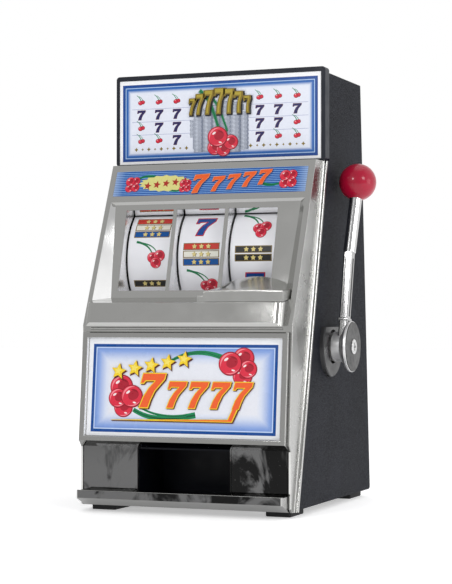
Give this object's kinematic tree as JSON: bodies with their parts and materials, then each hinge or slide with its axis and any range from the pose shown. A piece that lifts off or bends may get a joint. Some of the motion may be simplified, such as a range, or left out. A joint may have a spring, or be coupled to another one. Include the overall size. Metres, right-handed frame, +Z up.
{
  "type": "slot machine",
  "caption": "Table-top slot machine with a pull lever, spinning reels behind windows, a coin slot, a payout tray and a locked rear coin door.",
  "frame": {"origin": "bottom centre of the whole object, on the surface the feet stand on", "axes": "+X to the right seen from the front, +Y to the back, +Z up; the front faces -Y"},
  "size_m": [0.2295, 0.2227, 0.3763],
  "materials": {
    "cabinet_vinyl": "leather-grained black vinyl",
    "plated_plastic": "bright chrome plating on moulded plastic",
    "sign_trim": "satin black moulding",
    "printed_panel": "printed glossy panel",
    "printed_label": "printed glossy label",
    "black_plastic": "fine textured moulded plastic",
    "tray_plastic": "smooth dark moulded plastic",
    "foot_rubber": "soft rubber",
    "hub_metal": "brushed cast metal with a bright rim",
    "steel": "drawn bright steel",
    "screw_steel": "plated cross-head screw",
    "spring_steel": "coiled spring wire",
    "knob_red": "polished dark red",
    "bronze": "sintered bearing bronze",
    "reel_plastic": "white moulded plastic",
    "reel_strip": "printed strip",
    "circuit_green": "lacquered board",
    "battery_case": "shrink sleeve"
  },
  "bodies": {
    "cabinet": {"cabinet_shell": "cabinet_vinyl", "base_plate": "black_plastic", "feet": "foot_rubber", "rear_cover": "black_plastic", "case_screws": "screw_steel", "sign_frame": "sign_trim", "sign_panel": "printed_panel", "fascia": "plated_plastic", "counter": "plated_plastic", "coin_entry": "plated_plastic", "belly_frame": "plated_plastic", "belly_label": "printed_label", "marquee_label": "printed_label", "tray_surround": "plated_plastic", "coin_tray": "tray_plastic", "coin_chute": "tray_plastic", "hopper": "tray_plastic", "gate_pin": "steel", "trip_bracket": "steel", "reel_plate_left": "steel", "reel_plate_right": "steel", "reel_shaft": "steel", "pawl_shaft": "steel", "kicker_shaft": "steel", "tie_rods": "steel", "lever_boss": "black_plastic", "lever_bush": "bronze", "lever_spring": "spring_steel", "battery_box": "black_plastic", "batteries": "battery_case", "battery_contacts": "bronze", "speaker": "black_plastic", "circuit_board": "circuit_green", "door_pin": "steel"},
    "lever": {"lever_shaft": "steel", "lever_hub": "hub_metal", "hub_screw": "screw_steel", "lever_arm": "hub_metal", "lever_rod": "hub_metal", "lever_knob": "knob_red", "lever_crank": "steel"},
    "reel_left": {"reel_drum_1": "reel_plastic", "reel_strip_1": "reel_strip", "star_wheel_1": "steel"},
    "reel_middle": {"reel_drum_2": "reel_plastic", "reel_strip_2": "reel_strip", "star_wheel_2": "steel"},
    "reel_right": {"reel_drum_3": "reel_plastic", "reel_strip_3": "reel_strip", "star_wheel_3": "steel"},
    "pawl_left": {"detent_pawl_1": "steel"},
    "pawl_middle": {"detent_pawl_2": "steel"},
    "pawl_right": {"detent_pawl_3": "steel"},
    "kicker": {"kicker_bar": "steel"},
    "coin_rocker": {"coin_trip": "tray_plastic"},
    "payout_flap": {"payout_gate": "tray_plastic"},
    "battery_hatch": {"battery_door": "black_plastic"},
    "rear_door": {"coin_door": "black_plastic"},
    "lock": {"door_lock": "hub_metal"},
    "switch": {"power_switch": "black_plastic"}
  },
  "joints": [
    {"name": "lever_pull", "type": "hinge", "parent": "cabinet", "child": "lever", "pos_m": [0.08275, -0.0082, 0.138], "axis": [1, 0, 0], "range_deg": [0, 75], "stiffness_Nm_per_rad": 0.12, "springref_deg": -22.92},
    {"name": "kicker_turn", "type": "hinge", "parent": "cabinet", "child": "kicker", "pos_m": [-0.01725, 0.0425, 0.143], "axis": [1, 0, 0], "range_deg": [0, 15]},
    {"name": "reel_left_spin", "type": "hinge", "parent": "cabinet", "child": "reel_left", "pos_m": [-0.06915, 0.0039, 0.213], "axis": [1, 0, 0], "continuous": true},
    {"name": "reel_middle_spin", "type": "hinge", "parent": "cabinet", "child": "reel_middle", "pos_m": [-0.02155, 0.0039, 0.213], "axis": [1, 0, 0], "continuous": true},
    {"name": "reel_right_spin", "type": "hinge", "parent": "cabinet", "child": "reel_right", "pos_m": [0.02605, 0.0039, 0.213], "axis": [1, 0, 0], "continuous": true},
    {"name": "pawl_left_lift", "type": "hinge", "parent": "cabinet", "child": "pawl_left", "pos_m": [-0.04655, 0.0685, 0.228], "axis": [1, 0, 0], "range_deg": [-8, 0], "stiffness_Nm_per_rad": 0.01, "springref_deg": 11.46},
    {"name": "pawl_middle_lift", "type": "hinge", "parent": "cabinet", "child": "pawl_middle", "pos_m": [0.00105, 0.0685, 0.228], "axis": [1, 0, 0], "range_deg": [-8, 0], "stiffness_Nm_per_rad": 0.01, "springref_deg": 11.46},
    {"name": "pawl_right_lift", "type": "hinge", "parent": "cabinet", "child": "pawl_right", "pos_m": [0.04865, 0.0685, 0.228], "axis": [1, 0, 0], "range_deg": [-8, 0], "stiffness_Nm_per_rad": 0.01, "springref_deg": 11.46},
    {"name": "coin_rocker_tip", "type": "hinge", "parent": "cabinet", "child": "coin_rocker", "pos_m": [0.02675, -0.0725, 0.128], "axis": [0, 1, 0], "range_deg": [-25, 0], "stiffness_Nm_per_rad": 0.004, "springref_deg": 11.46},
    {"name": "payout_flap_drop", "type": "hinge", "parent": "cabinet", "child": "payout_flap", "pos_m": [-0.01725, -0.07, 0.059], "axis": [1, 0, 0], "range_deg": [-55, 0], "stiffness_Nm_per_rad": 0.01, "springref_deg": 34.38},
    {"name": "battery_hatch_open", "type": "hinge", "parent": "cabinet", "child": "battery_hatch", "pos_m": [-0.04725, 0.10163, 0.121], "axis": [1, 0, 0], "range_deg": [-100, 0]},
    {"name": "rear_door_open", "type": "hinge", "parent": "cabinet", "child": "rear_door", "pos_m": [-0.01725, 0.10836, 0.0275], "axis": [1, 0, 0], "range_deg": [-95, 0]},
    {"name": "lock_turn", "type": "hinge", "parent": "rear_door", "child": "lock", "pos_m": [-0.01725, 0.10546, 0.078], "axis": [0, 1, 0], "range_deg": [0, 90]},
    {"name": "switch_slide", "type": "slide", "parent": "cabinet", "child": "switch", "axis": [1, 0, 0], "range_m": [0, 0.0045]}
  ],
  "couplings": [
    {"joint": "kicker_turn", "follows": "lever_pull", "ratio": 0.2}
  ]
}
